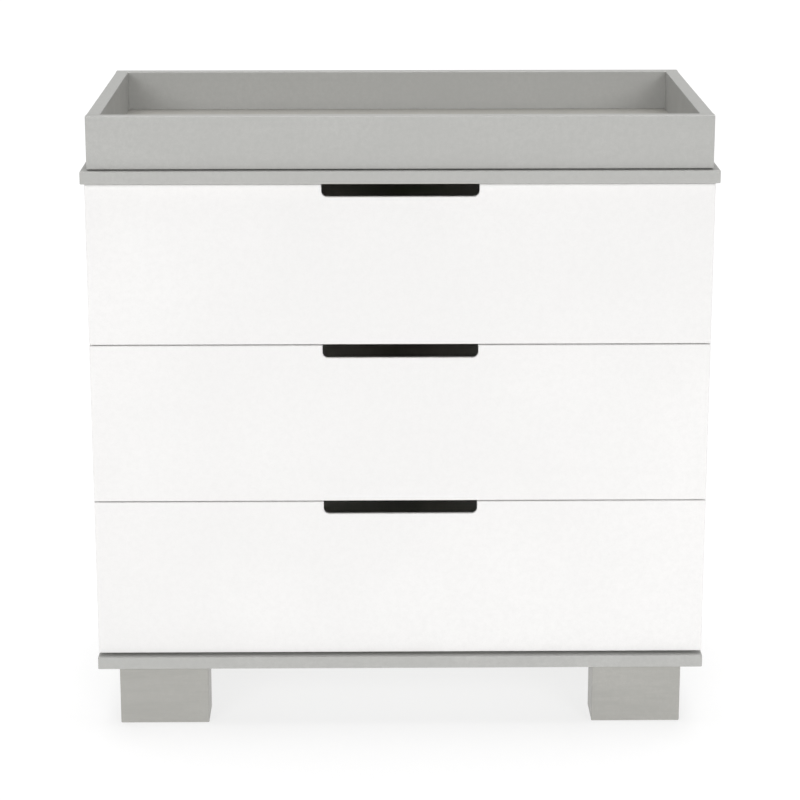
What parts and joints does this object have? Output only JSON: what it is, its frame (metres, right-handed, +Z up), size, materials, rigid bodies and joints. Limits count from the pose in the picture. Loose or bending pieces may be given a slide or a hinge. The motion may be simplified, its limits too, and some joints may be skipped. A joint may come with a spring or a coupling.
{
  "type": "changing table",
  "caption": "White dresser on grey block feet with finger-notched drawers on roller slides and a lift-off grey changing tray on its top.",
  "frame": {"origin": "on the floor, at the middle of the box that holds the whole table", "axes": "+Z up, -Y the front that the drawers open towards, +X to the right as seen from the front"},
  "size_m": [0.88, 0.462, 0.892],
  "materials": {
    "white_paint": "satin paint",
    "grey_paint": "satin paint",
    "white_board": "matte melamine",
    "white_hardboard": "matte",
    "box_board": "matte melamine",
    "coated_steel": "satin powder coat",
    "zinc_plated_steel": "satin",
    "cast_zinc": "satin",
    "nylon": "satin",
    "felt": "matte",
    "clear_rubber": "satin"
  },
  "bodies": {
    "cabinet": {"top_panel": "grey_paint", "base_panel": "grey_paint", "side_panel_left": "white_paint", "side_panel_right": "white_paint", "back_panel": "white_hardboard", "rear_rail": "white_board", "front_rails": "white_board", "foot_front_left": "grey_paint", "foot_front_right": "grey_paint", "foot_rear_left": "grey_paint", "foot_rear_right": "grey_paint", "foot_glides": "felt", "base_screws": "zinc_plated_steel", "cam_locks": "cast_zinc", "cam_bolts": "zinc_plated_steel", "cabinet_screws": "zinc_plated_steel", "drawer_bumpers": "clear_rubber", "anti_tip_brackets": "zinc_plated_steel", "tray_catch_screws": "zinc_plated_steel", "lower_cabinet_slides": "coated_steel", "middle_cabinet_slides": "coated_steel", "upper_cabinet_slides": "coated_steel"},
    "changing_tray": {"tray_front_wall": "grey_paint", "tray_back_wall": "grey_paint", "tray_left_wall": "grey_paint", "tray_right_wall": "grey_paint", "tray_floor": "grey_paint", "tray_pads": "felt", "tray_plates": "zinc_plated_steel", "tray_screws": "zinc_plated_steel"},
    "lower_drawer": {"lower_drawer_front": "white_paint", "lower_drawer_left_side": "box_board", "lower_drawer_right_side": "box_board", "lower_drawer_box_front": "box_board", "lower_drawer_box_back": "box_board", "lower_drawer_bottom": "white_hardboard", "lower_drawer_slides": "coated_steel", "lower_drawer_screws": "zinc_plated_steel"},
    "lower_front_rollers": {"lower_front_rollers": "nylon"},
    "lower_rear_rollers": {"lower_rear_rollers": "nylon"},
    "middle_drawer": {"middle_drawer_front": "white_paint", "middle_drawer_left_side": "box_board", "middle_drawer_right_side": "box_board", "middle_drawer_box_front": "box_board", "middle_drawer_box_back": "box_board", "middle_drawer_bottom": "white_hardboard", "middle_drawer_slides": "coated_steel", "middle_drawer_screws": "zinc_plated_steel"},
    "middle_front_rollers": {"middle_front_rollers": "nylon"},
    "middle_rear_rollers": {"middle_rear_rollers": "nylon"},
    "upper_drawer": {"upper_drawer_front": "white_paint", "upper_drawer_left_side": "box_board", "upper_drawer_right_side": "box_board", "upper_drawer_box_front": "box_board", "upper_drawer_box_back": "box_board", "upper_drawer_bottom": "white_hardboard", "upper_drawer_slides": "coated_steel", "upper_drawer_screws": "zinc_plated_steel"},
    "upper_front_rollers": {"upper_front_rollers": "nylon"},
    "upper_rear_rollers": {"upper_rear_rollers": "nylon"}
  },
  "joints": [
    {"name": "lower_drawer_slide", "type": "slide", "parent": "cabinet", "child": "lower_drawer", "axis": [0, -1, 0], "range_m": [0, 0.3]},
    {"name": "lower_front_roller_spin", "type": "hinge", "parent": "cabinet", "child": "lower_front_rollers", "pos_m": [0, -0.189, 0.1378], "axis": [1, 0, 0], "range_deg": [0, 1720]},
    {"name": "lower_rear_roller_spin", "type": "hinge", "parent": "lower_drawer", "child": "lower_rear_rollers", "pos_m": [0, 0.186, 0.1378], "axis": [1, 0, 0], "range_deg": [0, 1912]},
    {"name": "middle_drawer_slide", "type": "slide", "parent": "cabinet", "child": "middle_drawer", "axis": [0, -1, 0], "range_m": [0, 0.3]},
    {"name": "middle_front_roller_spin", "type": "hinge", "parent": "cabinet", "child": "middle_front_rollers", "pos_m": [0, -0.189, 0.36713], "axis": [1, 0, 0], "range_deg": [0, 1720]},
    {"name": "middle_rear_roller_spin", "type": "hinge", "parent": "middle_drawer", "child": "middle_rear_rollers", "pos_m": [0, 0.186, 0.36713], "axis": [1, 0, 0], "range_deg": [0, 1912]},
    {"name": "upper_drawer_slide", "type": "slide", "parent": "cabinet", "child": "upper_drawer", "axis": [0, -1, 0], "range_m": [0, 0.3]},
    {"name": "upper_front_roller_spin", "type": "hinge", "parent": "cabinet", "child": "upper_front_rollers", "pos_m": [0, -0.189, 0.59647], "axis": [1, 0, 0], "range_deg": [0, 1720]},
    {"name": "upper_rear_roller_spin", "type": "hinge", "parent": "upper_drawer", "child": "upper_rear_rollers", "pos_m": [0, 0.186, 0.59647], "axis": [1, 0, 0], "range_deg": [0, 1912]},
    {"name": "tray_lift", "type": "slide", "parent": "cabinet", "child": "changing_tray", "axis": [0, 0, 1], "range_m": [0, 0.08]}
  ],
  "couplings": [
    {"joint": "lower_front_roller_spin", "follows": "lower_drawer_slide", "rad_per_m": 100},
    {"joint": "lower_rear_roller_spin", "follows": "lower_drawer_slide", "rad_per_m": 111.11},
    {"joint": "middle_front_roller_spin", "follows": "middle_drawer_slide", "rad_per_m": 100},
    {"joint": "middle_rear_roller_spin", "follows": "middle_drawer_slide", "rad_per_m": 111.11},
    {"joint": "upper_front_roller_spin", "follows": "upper_drawer_slide", "rad_per_m": 100},
    {"joint": "upper_rear_roller_spin", "follows": "upper_drawer_slide", "rad_per_m": 111.11}
  ]
}
